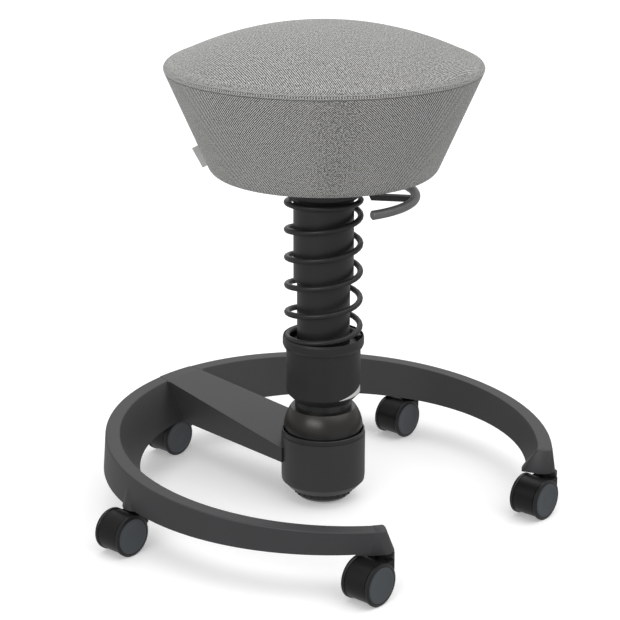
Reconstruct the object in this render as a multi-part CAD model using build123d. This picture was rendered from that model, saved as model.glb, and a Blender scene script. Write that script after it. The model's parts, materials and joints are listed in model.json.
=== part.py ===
from build123d import *
from math import cos, radians, sin, sqrt
import os

# Active stool: a cone-shaped cushion on a sprung, tilting and telescoping column, carried by the
# arm of an open ring base that runs on five twin-wheel castors.
# Frame: +Z is up, the floor is z = 0 and the column stands on the Z axis. The ring opens towards
# -Y and its arm lies along +Y. Sizes are millimetres. An outline is a list of (radius, height).

# ---------------------------------------------------------------- fits
GAP = 0.3  # between pieces that move past each other
RUN = 0.05  # radial running fit of a shaft or pin in its bore

# ---------------------------------------------------------------- castors
castor_count = 5
castor_first_angle = -36.0  # degrees from -Y, seen from above
castor_circle_radius = 276.0
castor_trail = 29.0  # stem axis to wheel axis, towards -X as the castors stand
wheel_radius = 26.0
wheel_outer_face = 20.5  # from the castor's middle plane
wheel_flange_width = 5.0
wheel_drum_radius = 22.0
wheel_inner_face = 3.6
wheel_rim_width = 3.4
wheel_rim_slope = 1.4
wheel_rim_height = 0.9
hood_web = 6.0
hood_outer_radius = 25.0
hood_drum_clearance = 0.9
hood_rear_height = 8.0
hood_flange_clearance = 0.8
hood_neck_radius = 11.5
stem_radius = 5.5
stem_in_ring = 14.0
stem_below_ring = 18.5
axle_radius = 3.0
axle_reach = 15.5  # from the middle plane to each end

# ---------------------------------------------------------------- base ring
ring_bottom = 54.2
ring_top_at_column = 91.7  # height of the ring's top plane at y = 0
ring_top_slope = 0.050  # the top plane rises towards the arm
ring_centre_y = -17.2  # centre of the castor circle and of the inner wall's foot
outer_wall_centre_y = -9.5
ring_bottom_outer_radius = 289.5
ring_bottom_inner_radius = 248.2
ring_top_outer_radius = 286.5
ring_top_inner_radius = 268.5
ring_top_centre_y = -10.0
ring_edge_radius = 1.6
boss_bottom_radius = 20.0
boss_top_radius = 9.0
boss_top_shift = 3.0  # outwards from the stem
boss_height = 36.0
boss_drop = 2.2  # how far a boss stands below the ring
end_boss_reach = 268.4  # from the castor circle's centre to the middle of an end boss
end_boss_half_length = 16.4
end_boss_half_width = 12.6
end_boss_top_half_length = 7.2
end_boss_top_half_width = 2.2

# ---------------------------------------------------------------- arm
arm_top_at_column = 70.2  # height of the arm's top plane at y = 0
arm_top_slope = 0.1336
arm_half_width_ring = 27.5
arm_half_width_hub = 50.0
arm_seat_height = 8.0  # web of the ring left under the arm
arm_wall = 5.0
arm_roof = 6.0
arm_rib = 4.0
arm_rib_places = (110.0, 160.0)
arm_joint_gap = 0.6  # open joint between the arm and the ring's walls
arm_foot_flare = 2.0
arm_foot_thickness = 3.0
arm_screw_radius = 4.0
arm_screw_head_radius = 6.5
arm_screw_head_height = 5.0
arm_screw_spacing = 26.0
arm_screw_inward = 6.0
arm_screw_height = 28.0

# ---------------------------------------------------------------- hub and tilt joint
pivot_height = 96.0
dome_radius = 51.3
dome_wall = 7.3
dome_lower_edge = 100.8
dome_skirt_radius = 49.5
dome_skirt_bottom = 80.0
dome_ceiling = 118.0
pot_radius = 54.2
pot_bottom = 17.0
pot_floor = 8.0
pot_corner = 10.0
pot_top = 89.6
pot_wall = 5.2
pot_mouth_height = 76.0
trim_ring_top = 96.0
trim_ring_radius = 53.4
trim_ring_clearance = 0.4
pin_radius = 5.0
pin_reach = 21.0
cross_half = 12.0
cross_height = 14.0
lug_inner = 13.0
lug_half_width = 9.0
lug_over_pivot = 9.0
post_radius = 22.0
post_top = 78.0
yoke_flange_radius = 44.0
yoke_flange_height = 6.0
damper_top = 64.0
knob_radius = 37.0
knob_bottom = 5.0
knob_rib_count = 24
knob_rib_radius = 1.6
spindle_radius = 6.0
spindle_length = 14.0

# ---------------------------------------------------------------- column
neck_radius = 36.5
neck_top = 136.0
lower_tube_radius = 33.6
lower_tube_wall = 4.6
lower_tube_bottom = 124.0
lower_tube_top = 330.0
bush_height = 24.0
bush_low = 212.0
inner_column_radius = 24.0
inner_column_bottom = 202.0
inner_column_floor = 4.0
inner_column_wall = 4.0
sleeve_radius = 38.0
sleeve_bottom = 294.0
sleeve_chamfer = 3.0
sleeve_clearance = 0.5
cup_chamfer_radius = 37.3
cup_body_radius = 47.5
cup_body_bottom = 147.0
cup_bead_bottom = 206.5
cup_bead_radius = 51.9
cup_top = 222.0
cup_floor = 213.3
cup_nut_height = 17.0
cup_wall = 3.5
collar_bottom = 403.0
collar_radius = 48.7
collar_foot_radius = 43.0
collar_height = 12.0
collar_flare = 6.0
collar_recess_radius = 30.0
collar_recess_depth = 6.0
spring_wire_radius = 3.75
spring_radius = 46.25
spring_turns = 6.0
spring_low_ease = (0.05, 1.03)  # turns between which the pitch grows to full
spring_high_ease = (5.3, 5.8)  # turns between which it fades again
spring_flat_share = 0.03
spring_start_angle = -48.0  # degrees from +X to the wire's lower end
spring_points_per_turn = 16

# ---------------------------------------------------------------- gas lift
cylinder_radius = 14.0
cylinder_wall = 3.0
cylinder_bottom = 225.0
cylinder_cap = 6.0
cylinder_top = 428.0
cylinder_taper_radius = 13.2
cylinder_bore_top = 398.0
rod_radius = 5.0
rod_tip_radius = 4.0
rod_tip_length = 11.0
piston_height = 8.0
piston_top = 380.0
piston_clearance = 0.4
bearing_height = 3.0
bearing_outer_radius = 15.0
clip_radius = 8.0
clip_height = 1.5
guide_bush_bottom = 350.0
button_radius = 3.0
button_proud = 2.5
button_length = 16.0

# ---------------------------------------------------------------- seat
seat_bottom = 434.3
seat_bottom_radius = 135.5
seat_rim_height = 566.9
seat_rim_radius = 195.0
seat_crown = 50.0
seat_corner_radius = 16.0
cover_thickness = 2.0
cover_mouth_radius = 112.0
board_height = 12.0
board_bottom = 440.0
board_lip_width = 13.0
socket_plate_radius = 75.0
socket_plate_height = 4.0
socket_boss_radius = 26.0
socket_boss_bottom = 410.5
socket_rib = 5.0
screw_circle_radius = 60.0
screw_radius = 3.0
screw_head_radius = 5.5
screw_head_height = 3.5
screw_length = 14.0
tag_length = 30.0
tag_reach = 11.0
tag_thickness = 1.0
tag_angle = 133.0
tag_height = 457.0

# ---------------------------------------------------------------- release lever
lever_angle = -58.0  # degrees from +X to the lever's strip
lever_pivot_reach = 18.0
lever_pin_radius = 2.0
lever_pin_boss = 3.2
lever_strip_thickness = 3.5
lever_strip_width = 10.0
lever_nose = 4.0
lever_height = 405.0
lever_bend_start = 50.0
lever_bend_end = 66.0
lever_arm_thickness = 7.0
handle_circle_radius = 114.0
handle_rod_radius = 5.75
handle_sweep = 100.0
lever_slot_clearance = 1.0


# ---------------------------------------------------------------- small helpers
def upright(radius, low, high, x=0.0, y=0.0):
    """An upright cylinder between two heights."""
    base = (Align.CENTER, Align.CENTER, Align.MIN)
    return Pos(x, y, low) * Cylinder(radius, high - low, align=base)


def tube(outer, inner, low, high):
    """An upright tube about the column axis."""
    return upright(outer, low, high) - upright(inner, low, high)


def turned(points):
    """A solid of revolution about the column axis from a closed outline of (radius, height)."""
    outline = Plane.XZ * make_face(Polyline(*points, close=True))
    return revolve(outline, Axis.Z)


def block(x_low, x_high, y_low, y_high, z_low, z_high):
    """A box from its low and high sides."""
    size = (x_high - x_low, y_high - y_low, z_high - z_low)
    middle = ((x_low + x_high) / 2, (y_low + y_high) / 2, (z_low + z_high) / 2)
    return Pos(*middle) * Box(*size)


def cross_pin(radius, low, high, along, height):
    """A cylinder about the X or Y axis direction at a height, between two places along it."""
    turn = Rot(0, 90, 0) if along == "X" else Rot(-90, 0, 0)
    base = (Align.CENTER, Align.CENTER, Align.MIN)
    shift = Pos(low, 0, height) if along == "X" else Pos(0, low, height)
    return shift * turn * Cylinder(radius, high - low, align=base)


def around_base(angle, reach):
    """The place at a reach from the ring's centre, at an angle from -Y seen from above."""
    return reach * sin(radians(angle)), ring_centre_y - reach * cos(radians(angle))


def ring_top(y):
    """Height of the ring's top plane at y."""
    return ring_top_at_column + ring_top_slope * y


def arm_top(y):
    """Height of the arm's top plane at y."""
    return arm_top_at_column + arm_top_slope * y


def write(shape, name):
    """Writes one named piece."""
    export_step(shape, f"parts/{name}.step")


# ---------------------------------------------------------------- base
castor_angles = [castor_first_angle + 360 / castor_count * i for i in range(castor_count)]
castor_stems = [around_base(angle, castor_circle_radius) for angle in castor_angles]
boss_bottom = ring_bottom - boss_drop
stem_top = boss_bottom + stem_in_ring
stem_bottom = boss_bottom - stem_below_ring


def wall_solid(bottom_radius, bottom_centre_y, top_radius):
    """The solid inside one leaning wall of the ring, up to the ring's inclined top plane."""
    low = Pos(0, bottom_centre_y, ring_bottom) * Circle(bottom_radius)
    centre = (0, ring_top_centre_y, ring_top(ring_top_centre_y))
    high = Plane(centre, (1, 0, 0), (0, -ring_top_slope, 1)) * Circle(top_radius)
    return loft([low, high], ruled=True)


def outer_wall():
    """The solid inside the ring's outer wall."""
    return wall_solid(ring_bottom_outer_radius, outer_wall_centre_y, ring_top_outer_radius)


def inner_wall(inset=0.0):
    """The solid inside the ring's inner wall, drawn in by an inset."""
    top_radius = ring_top_inner_radius - inset
    return wall_solid(ring_bottom_inner_radius - inset, ring_centre_y, top_radius)


def opening_wedge():
    """The sector between the two end castors that the open ring leaves out."""
    reach = 2 * ring_bottom_outer_radius
    left = around_base(castor_angles[0], reach)
    right = around_base(castor_angles[1], reach)
    corners = [(0, ring_centre_y), left, (0, -2 * reach), right]
    sector = make_face(Polyline(*corners, close=True))
    return Pos(0, 0, ring_bottom - 50) * extrude(sector, 200)


def ring_body():
    """The open ring with its leaning walls and softened top edges."""
    body = outer_wall() - inner_wall() - opening_wedge()
    top_edges = body.edges().filter_by(lambda e: e.bounding_box().min.Z > ring_bottom + 5)
    long_edges = top_edges.filter_by(lambda e: e.length > 4 * ring_top_inner_radius)
    return fillet(long_edges, ring_edge_radius)


def stem_boss(index):
    """The tapered round boss that holds a castor's stem under the ring."""
    top_place = around_base(castor_angles[index], castor_circle_radius + boss_top_shift)
    low = Pos(*castor_stems[index], boss_bottom) * Circle(boss_bottom_radius)
    high = Pos(*top_place, boss_bottom + boss_height) * Circle(boss_top_radius)
    return loft([low, high], ruled=True)


def end_boss(index):
    """The oval boss at an end of the ring, which closes the end below a straight top edge."""
    angle = radians(castor_angles[index])
    side = 1 if index else -1
    into_ring = (side * cos(angle), side * sin(angle), 0)
    x, y = around_base(castor_angles[index], end_boss_reach)
    low = Plane((x, y, boss_bottom), into_ring) * Ellipse(end_boss_half_width, end_boss_half_length)
    top_oval = Ellipse(end_boss_top_half_width, end_boss_top_half_length)
    high = Plane((x, y, ring_top(y) - GAP), into_ring) * top_oval
    return loft([low, high], ruled=True)


def arm_plan(bottom, inset=0.0):
    """The arm's tapered plan, drawn in by an inset, standing tall on a height."""
    ring_y = ring_top_outer_radius + 10
    hub_y = pot_radius / 2
    wide = arm_half_width_hub - inset
    narrow = arm_half_width_ring - inset
    corners = [(-narrow, ring_y), (narrow, ring_y), (wide, hub_y), (-wide, hub_y)]
    plan = make_face(Polyline(*corners, close=True))
    return Pos(0, 0, bottom) * extrude(plan, 200)


def arm_blank(bottom, inset=0.0, roof=0.0):
    """The arm's plan cut under its sloping top, drawn in by an inset and a roof."""
    sky = Plane((0, 0, arm_top(0) - roof), (1, 0, 0), (0, -arm_top_slope, 1))
    above = sky * Box(800, 800, 400, align=(Align.CENTER, Align.CENTER, Align.MIN))
    return arm_plan(bottom, inset) - above


def arm_screw_places():
    """Where the two arm screws stand, on the ring's middle line."""
    middle = (ring_bottom_outer_radius + ring_bottom_inner_radius) / 2
    y = around_base(180, middle)[1]
    return [(side * arm_screw_spacing / 2, y - arm_screw_inward) for side in (-1, 1)]


def arm_screw(x, y, clearance=0.0):
    """One cap screw, head sunk in the ring's underside."""
    head_top = ring_bottom + arm_screw_head_height
    shank = upright(arm_screw_radius + clearance, head_top, ring_bottom + arm_screw_height, x, y)
    return shank + upright(arm_screw_head_radius + clearance, ring_bottom + 0.4, head_top, x, y)


def make_base_ring():
    """The open ring with five stem bosses and the seat for the arm."""
    body = ring_body()
    for index in range(castor_count):
        body += end_boss(index) if index < 2 else stem_boss(index)
    body -= arm_plan(ring_bottom + arm_seat_height)
    for x, y in castor_stems:
        body -= upright(stem_radius, boss_bottom - 5, stem_top, x, y)
    for x, y in arm_screw_places():
        body -= arm_screw(x, y)
        body -= upright(arm_screw_head_radius, ring_bottom - 1, ring_bottom + 1, x, y)
    return body


def make_base_arm():
    """The hollow cast arm from the ring to the hub, open below between its ribs."""
    within = arm_blank(ring_bottom) & inner_wall()
    foot = arm_blank(ring_bottom, inset=-arm_foot_flare) & (inner_wall() - inner_wall(arm_foot_thickness))
    over_ring = arm_blank(ring_bottom + arm_seat_height, inset=arm_joint_gap)
    over_ring &= outer_wall() - inner_wall()
    body = within + foot + over_ring
    body -= upright(pot_radius, 0, 200)
    cells = arm_blank(ring_bottom - 1, inset=arm_wall, roof=arm_roof)
    cells -= upright(pot_radius + arm_wall, 0, 200)
    reach = ring_bottom_inner_radius - 22
    cells &= upright(reach, 0, 300, 0, ring_centre_y)
    cells -= block(-arm_rib / 2, arm_rib / 2, 0, 400, 0, 200)
    for y in arm_rib_places:
        cells -= block(-100, 100, y - arm_rib / 2, y + arm_rib / 2, 0, 200)
    body -= cells
    for x, y in arm_screw_places():
        body -= arm_screw(x, y)
    x, y = castor_stems[3]
    return body - upright(stem_radius, boss_bottom, stem_top, x, y)


def make_arm_screws():
    """The two screws that hold the arm on the ring."""
    return Compound([arm_screw(x, y) for x, y in arm_screw_places()])


def make_hub_pot():
    """The deep round housing at the end of the arm, open at the top."""
    low_inner = pot_radius - pot_wall
    mouth = dome_radius + trim_ring_clearance + 0.2
    floor = pot_bottom + pot_floor
    outline = [
        (0, pot_bottom),
        (pot_radius - pot_corner, pot_bottom),
        (pot_radius - 0.6, pot_bottom + pot_corner),
        (pot_radius, pot_bottom + pot_corner + 6),
        (pot_radius, pot_top),
        (mouth, pot_top),
        (mouth, pot_mouth_height),
        (low_inner, pot_mouth_height - 3),
        (low_inner, floor),
        (0, floor),
    ]
    body = turned(outline)
    corner = body.edges().group_by(Axis.Z)[0].sort_by(lambda e: e.length)[-1]
    body = fillet(corner, 4.0)
    return body - upright(spindle_radius + RUN, 0, floor + 1)


def make_hub_trim_ring():
    """The thin ring that closes the hub's mouth round the dome."""
    inner = dome_radius + trim_ring_clearance
    body = tube(trim_ring_radius, inner, pot_top, trim_ring_top)
    return chamfer(body.edges().group_by(Axis.Z)[-1].sort_by(lambda e: e.length)[-1], 0.8)


def make_pivot_yoke():
    """The fixed fork of the tilt joint, standing on the hub's floor."""
    floor = pot_bottom + pot_floor
    body = upright(yoke_flange_radius, floor, floor + yoke_flange_height)
    body += upright(post_radius, floor, post_top)
    for side in (-1, 1):
        x_low, x_high = sorted((side * lug_inner, side * pin_reach))
        lug = block(x_low, x_high, -lug_half_width, lug_half_width, post_top - 2, pivot_height)
        crown = cross_pin(lug_over_pivot, x_low, x_high, "X", pivot_height)
        body += lug + crown
    body -= cross_pin(pin_radius + RUN, -pin_reach - 1, pin_reach + 1, "X", pivot_height)
    body -= block(-lug_inner, lug_inner, -post_radius, post_radius, post_top, pivot_height + 20)
    return body - upright(spindle_radius + RUN, 0, knob_top() + spindle_length + 1)


def make_tilt_cross():
    """The gimbal cross with two crossed pins."""
    body = Pos(0, 0, pivot_height) * Box(2 * cross_half, 2 * cross_half, cross_height)
    body += cross_pin(pin_radius, -pin_reach, pin_reach, "X", pivot_height)
    body += cross_pin(pin_radius, -pin_reach, pin_reach, "Y", pivot_height)
    return body


def make_damper_ring():
    """The elastomer ring round the yoke's post that brings the column back upright."""
    low = pot_bottom + pot_floor + yoke_flange_height
    inner = post_radius + GAP
    outline = [
        (inner, low),
        (yoke_flange_radius, low),
        (yoke_flange_radius, low + 9),
        (yoke_flange_radius - 4, (low + damper_top) / 2),
        (yoke_flange_radius, damper_top - 9),
        (yoke_flange_radius, damper_top),
        (inner, damper_top),
    ]
    return turned(outline)


def knob_top():
    """The stiffness knob's upper face."""
    return pot_bottom - GAP


def make_stiffness_knob():
    """The ribbed knob under the hub, with its spindle."""
    body = upright(knob_radius, knob_bottom, knob_top())
    body = chamfer(body.edges().group_by(Axis.Z)[0], 4.0)
    ribs = PolarLocations(knob_radius - 0.2, knob_rib_count)
    for place in ribs:
        rib = Cylinder(knob_rib_radius, 5.0, align=(Align.CENTER, Align.CENTER, Align.MIN))
        body += Pos(0, 0, knob_bottom + 4.5) * place * rib
    return body + upright(spindle_radius, knob_top(), knob_top() + spindle_length)


# ---------------------------------------------------------------- column
def make_column_foot():
    """The domed foot of the column: ball skin, skirt, neck and the two lugs of the tilt joint."""
    ball = Pos(0, 0, pivot_height) * Sphere(dome_radius)
    skirt = Pos(0, 0, pivot_height) * Sphere(dome_skirt_radius)
    hollow = Pos(0, 0, pivot_height) * Sphere(dome_radius - dome_wall)
    body = ball & upright(80, dome_lower_edge, neck_top - 10)
    body += skirt & upright(80, dome_skirt_bottom, dome_lower_edge + 1)
    body += upright(neck_radius, dome_ceiling, neck_top)
    body -= hollow & upright(80, 0, dome_ceiling)
    for side in (-1, 1):
        y_low, y_high = sorted((side * lug_inner, side * pin_reach))
        lug = block(-lug_half_width, lug_half_width, y_low, y_high, pivot_height, dome_ceiling)
        body += lug + cross_pin(lug_over_pivot, y_low, y_high, "Y", pivot_height)
    body -= cross_pin(pin_radius + RUN, -pin_reach - 1, pin_reach + 1, "Y", pivot_height)
    return body - upright(lower_tube_radius, lower_tube_bottom, neck_top + 1)


def make_lower_tube():
    """The fixed guide tube of the column."""
    inner = lower_tube_radius - lower_tube_wall
    body = tube(lower_tube_radius, inner, lower_tube_bottom, lower_tube_top)
    return chamfer(body.edges().group_by(Axis.Z)[-1].sort_by(lambda e: e.length)[-1], 1.0)


def make_guide_bushes():
    """The two slide bushes inside the lower tube."""
    outer = lower_tube_radius - lower_tube_wall
    inner = inner_column_radius + RUN
    high = lower_tube_top - 4 - bush_height
    return Compound([tube(outer, inner, z, z + bush_height) for z in (bush_low, high)])


def make_spring_cup():
    """The turning cup that holds the spring's lower end and screws along the lower tube."""
    bore = lower_tube_radius + RUN
    seat = spring_radius + spring_wire_radius + GAP
    cavity = cup_body_radius - cup_wall
    outline = [
        (bore, neck_top + GAP),
        (cup_chamfer_radius, neck_top + GAP),
        (cup_body_radius, cup_body_bottom),
        (cup_body_radius, cup_bead_bottom),
        (cup_bead_radius - 1.5, cup_bead_bottom + 1.5),
        (cup_bead_radius, cup_bead_bottom + 5),
        (cup_bead_radius, cup_top - 3),
        (cup_bead_radius - 0.8, cup_top),
        (seat, cup_top),
        (seat, cup_floor),
        (bore, cup_floor),
        (bore, cup_floor - cup_nut_height),
        (cavity, cup_floor - cup_nut_height),
        (cavity, cup_body_bottom + 2),
        (bore + 3, neck_top + 6),
        (bore, neck_top + 6),
    ]
    return turned(outline)


def spring_slope(turn):
    """Share of the full pitch after a number of turns: it eases in and out at the two ends."""
    shares = []
    for start, end in (spring_low_ease, spring_high_ease):
        part = min(max((turn - start) / (end - start), 0.0), 1.0)
        shares.append(part * part * (3 - 2 * part))
    return spring_flat_share + (1 - spring_flat_share) * shares[0] * (1 - shares[1])


def spring_heights():
    """Heights of the wire's centre at every point of its path."""
    low = cup_floor + GAP + spring_wire_radius
    high = collar_bottom - GAP - spring_wire_radius
    steps = int(spring_turns * spring_points_per_turn)
    slopes = [spring_slope((i + 0.5) / spring_points_per_turn) for i in range(steps)]
    heights = [low]
    for slope in slopes:
        heights.append(heights[-1] + slope * (high - low) / sum(slopes))
    return heights


def make_coil_spring():
    """The open coil spring round the column, with a closed turn at each end."""
    path_points = []
    for i, height in enumerate(spring_heights()):
        angle = radians(spring_start_angle + 360 * i / spring_points_per_turn)
        path_points.append((spring_radius * cos(angle), spring_radius * sin(angle), height))
    path = Spline(*path_points)
    section = Plane(path @ 0, z_dir=path % 0) * Circle(spring_wire_radius)
    return sweep(section, path, is_frenet=True)


def make_upper_sleeve():
    """The outer tube that slides over the lower tube."""
    body = tube(sleeve_radius, lower_tube_radius + sleeve_clearance, sleeve_bottom, collar_bottom)
    outer_edge = body.edges().group_by(Axis.Z)[0].sort_by(lambda e: e.length)[-1]
    return chamfer(outer_edge, sleeve_chamfer)


def make_spring_collar():
    """The flared plate that the spring's upper end pushes against."""
    top = collar_bottom + collar_height
    outline = [
        (inner_column_radius, collar_bottom),
        (collar_foot_radius, collar_bottom),
        (collar_radius - 1.5, collar_bottom + collar_flare - 2.5),
        (collar_radius, collar_bottom + collar_flare),
        (collar_radius, top),
        (collar_recess_radius, top),
        (collar_recess_radius, top - collar_recess_depth),
        (inner_column_radius, top - collar_recess_depth),
    ]
    return turned(outline)


def make_inner_column():
    """The long tube that holds the gas lift and slides in the two bushes."""
    top = collar_bottom + collar_height - collar_recess_depth
    inner = inner_column_radius - inner_column_wall
    body = upright(inner_column_radius, inner_column_bottom, top)
    body -= upright(inner, inner_column_bottom + inner_column_floor, top + 1)
    return body - upright(rod_tip_radius + RUN, 0, inner_column_bottom + 10)


def make_top_guide():
    """The plastic guide at the mouth of the inner column."""
    top = collar_bottom + collar_height - collar_recess_depth - 1
    outer = inner_column_radius - inner_column_wall
    return tube(outer, cylinder_radius + RUN, guide_bush_bottom, top)


def make_thrust_bearing():
    """The ring that the piston rod turns on."""
    low = inner_column_bottom + inner_column_floor
    return tube(bearing_outer_radius, rod_radius + 1, low, low + bearing_height)


def rod_shoulder():
    """The height where the piston rod rests over the thrust bearing."""
    return inner_column_bottom + inner_column_floor + bearing_height + GAP


def make_piston_rod():
    """The gas lift's rod with its piston and its slim tip."""
    piston = cylinder_radius - cylinder_wall - piston_clearance
    body = upright(rod_radius, rod_shoulder() + 2, piston_top)
    body += upright(rod_radius + 4, rod_shoulder(), rod_shoulder() + 4)
    body += upright(rod_tip_radius, rod_shoulder() - rod_tip_length, rod_shoulder())
    return body + upright(piston, piston_top - piston_height, piston_top)


def make_retaining_clip():
    """The clip that keeps the rod's tip in the inner column's floor."""
    top = inner_column_bottom - GAP
    return tube(clip_radius, rod_tip_radius, top - clip_height, top)


def make_gas_cylinder():
    """The gas lift's cylinder, tapered at the top and closed round the rod below."""
    outline = [
        (rod_radius + RUN, cylinder_bottom),
        (cylinder_radius, cylinder_bottom),
        (cylinder_radius, socket_boss_bottom),
        (cylinder_taper_radius, cylinder_top),
        (0, cylinder_top),
        (0, cylinder_bore_top),
        (cylinder_radius - cylinder_wall, cylinder_bore_top),
        (cylinder_radius - cylinder_wall, cylinder_bottom + cylinder_cap),
        (rod_radius + RUN, cylinder_bottom + cylinder_cap),
    ]
    deep = cylinder_top + button_proud - button_length - 3.5
    return turned(outline) - upright(button_radius + RUN, deep, cylinder_top + 1)


def make_gas_button():
    """The release button in the top of the gas cylinder."""
    top = cylinder_top + button_proud
    body = upright(button_radius, top - button_length, top)
    return fillet(body.edges().group_by(Axis.Z)[-1], 0.8)


# ---------------------------------------------------------------- seat
def seat_profile(inset, low):
    """The points of the cushion's outline drawn in by an inset and cut at a lower height."""
    slope = (seat_rim_radius - seat_bottom_radius) / (seat_rim_height - seat_bottom)
    side = inset * sqrt(1 + slope * slope)
    bottom = (seat_bottom_radius - side + slope * (low - seat_bottom), low)
    rim = (seat_rim_radius - side - slope * inset, seat_rim_height - inset)
    apex = (0, seat_rim_height + seat_crown - inset)
    sphere = (rim[0] ** 2 + (apex[1] - rim[1]) ** 2) / (2 * (apex[1] - rim[1]))
    half_way = (rim[0] / 2, apex[1] - sphere + sqrt(sphere**2 - (rim[0] / 2) ** 2))
    return bottom, rim, half_way, apex


def cushion_solid(inset, low):
    """A closed solid of the cushion's form, drawn in by an inset and cut at a height."""
    bottom, rim, half_way, apex = seat_profile(inset, low)
    lines = [
        Line((0, low), bottom),
        Line(bottom, rim),
        ThreePointArc(rim, half_way, apex),
        Line(apex, (0, low)),
    ]
    return revolve(Plane.XZ * make_face(lines), Axis.Z)


def make_seat_cover():
    """The fabric cover: a closed skin over the foam, turned in under the board."""
    body = cushion_solid(0, seat_bottom)
    corner = body.edges().group_by(Axis.Z)[0]
    body = fillet(corner, seat_corner_radius)
    rim = body.edges().filter_by(lambda e: abs(e.center().Z - seat_rim_height) < 1)
    body = fillet(rim, 3.0)
    inner = cushion_solid(cover_thickness, seat_bottom + cover_thickness)
    inner = fillet(inner.edges().group_by(Axis.Z)[0], seat_corner_radius - cover_thickness)
    return body - inner - upright(cover_mouth_radius, seat_bottom - 5, seat_bottom + 5)


def make_seat_board():
    """The moulded board under the foam, with a lip that the cover is turned round."""
    slope = (seat_rim_radius - seat_bottom_radius) / (seat_rim_height - seat_bottom)
    outer = seat_bottom_radius - seat_corner_radius * 0.22
    top_outer = outer + slope * board_height
    lip_bottom = seat_bottom + cover_thickness + GAP
    outline = [
        (0, board_bottom),
        (outer - board_lip_width, board_bottom),
        (outer - board_lip_width, lip_bottom),
        (outer - 5.0, lip_bottom),
        (outer, board_bottom + 2.5),
        (top_outer, board_bottom + board_height),
        (0, board_bottom + board_height),
    ]
    body = turned(outline)
    for x, y in seat_screw_places():
        body -= upright(screw_radius, board_bottom - 1, screw_top(), x, y)
    return body


def make_seat_foam():
    """The foam block on the board, following the cover from inside."""
    low = board_bottom + board_height + GAP
    return cushion_solid(cover_thickness + GAP, low)


def seat_screw_places():
    """Where the four seat screws stand."""
    angles = [45 + 90 * i for i in range(4)]
    reach = screw_circle_radius
    return [(reach * cos(radians(a)), reach * sin(radians(a))) for a in angles]


def screw_top():
    """How high the seat screws reach into the board."""
    return board_bottom - socket_plate_height + screw_length


def make_seat_screws():
    """The four pan-head screws between the socket plate and the board."""
    under = board_bottom - socket_plate_height
    screws = []
    for x, y in seat_screw_places():
        head = upright(screw_head_radius, under - screw_head_height, under, x, y)
        head = fillet(head.edges().group_by(Axis.Z)[0], 1.5)
        screws.append(head + upright(screw_radius, under, screw_top(), x, y))
    return Compound(screws)


def lever_frame():
    """The plane of the lever: X runs out along the strip, Z is up, origin on the column axis."""
    along = (cos(radians(lever_angle)), sin(radians(lever_angle)), 0)
    return Plane((0, 0, 0), x_dir=along, z_dir=(0, 0, 1))


def lever_strip_middle():
    """Middle height of the strip over the button."""
    return cylinder_top + button_proud + 0.5 + lever_strip_thickness / 2


def make_seat_socket():
    """The plate and tapered socket that join the gas lift to the board."""
    plate_low = board_bottom - socket_plate_height
    body = upright(socket_plate_radius, plate_low, board_bottom)
    body += upright(socket_boss_radius, socket_boss_bottom, plate_low)
    for i in range(4):
        rib_outline = Plane.XZ * make_face(
            Polyline(
                (socket_boss_radius - 3, socket_boss_bottom + 8),
                (socket_boss_radius + 1, socket_boss_bottom + 8),
                (socket_plate_radius - 25, plate_low),
                (socket_boss_radius - 3, plate_low),
                close=True,
            )
        )
        rib = extrude(rib_outline, socket_rib / 2, both=True)
        body += Rot(0, 0, lever_angle + 45 + 90 * i) * rib
    taper = [
        (0, socket_boss_bottom - 1),
        (cylinder_radius, socket_boss_bottom - 1),
        (cylinder_radius, socket_boss_bottom),
        (cylinder_taper_radius, cylinder_top),
        (cylinder_taper_radius, cylinder_top + 0.5),
        (0, cylinder_top + 0.5),
    ]
    body -= turned(taper)
    slot_half = lever_strip_width / 2 + lever_slot_clearance
    slot_low = lever_strip_middle() - lever_strip_thickness / 2 - 3.0
    reach = socket_plate_radius + 5
    slot = block(-12, reach, -slot_half, slot_half, slot_low, board_bottom + 1)
    body -= lever_frame() * slot
    for x, y in seat_screw_places():
        body -= upright(screw_radius, plate_low - 1, board_bottom + 1, x, y)
    return body - lever_frame() * lever_pin_solid(0.0)


def lever_pin_solid(extra):
    """The lever's pin along the strip's width, in the lever's frame."""
    half = lever_strip_width / 2 + lever_slot_clearance + 6
    pin = cross_pin(lever_pin_radius + extra, -half, half, "Y", lever_strip_middle())
    return Pos(lever_pivot_reach, 0, 0) * pin


def make_lever_pin():
    """The pin that the lever tips on."""
    return lever_frame() * lever_pin_solid(0.0)


def handle_rod():
    """The curved round handle, in the lever's frame."""
    path = CenterArc((0, 0, lever_height), handle_circle_radius, -handle_sweep / 2, handle_sweep)
    section = Plane(path @ 0, z_dir=path % 0) * Circle(handle_rod_radius)
    body = sweep(section, path)
    ends = body.edges().filter_by(GeomType.CIRCLE)
    ends = ends.filter_by(lambda e: abs(e.radius - handle_rod_radius) < 0.01)
    return chamfer(ends, 1.0)


def make_lever_handle():
    """The curved round handle under the seat's edge."""
    return lever_frame() * handle_rod()


def make_lever_strip():
    """The cranked strip from over the button, past its pin, down and out to the handle."""
    mid = lever_strip_middle()
    half = lever_strip_thickness / 2
    arm = lever_arm_thickness / 2
    outline = [
        (-lever_nose, mid - half),
        (lever_bend_start - 3, mid - half),
        (lever_bend_end - 6, lever_height - arm),
        (handle_circle_radius, lever_height - arm),
        (handle_circle_radius, lever_height + arm),
        (lever_bend_end, lever_height + arm),
        (lever_bend_start, mid + half),
        (-lever_nose, mid + half),
    ]
    side = Plane.XZ * make_face(Polyline(*outline, close=True))
    strip = extrude(side, lever_strip_width / 2, both=True)
    strip += Pos(lever_pivot_reach, 0, 0) * cross_pin(
        lever_pin_boss, -lever_strip_width / 2, lever_strip_width / 2, "Y", mid
    )
    strip -= lever_pin_solid(RUN)
    strip -= handle_rod()
    return lever_frame() * strip.solids().sort_by(lambda s: s.volume)[-1]


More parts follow.
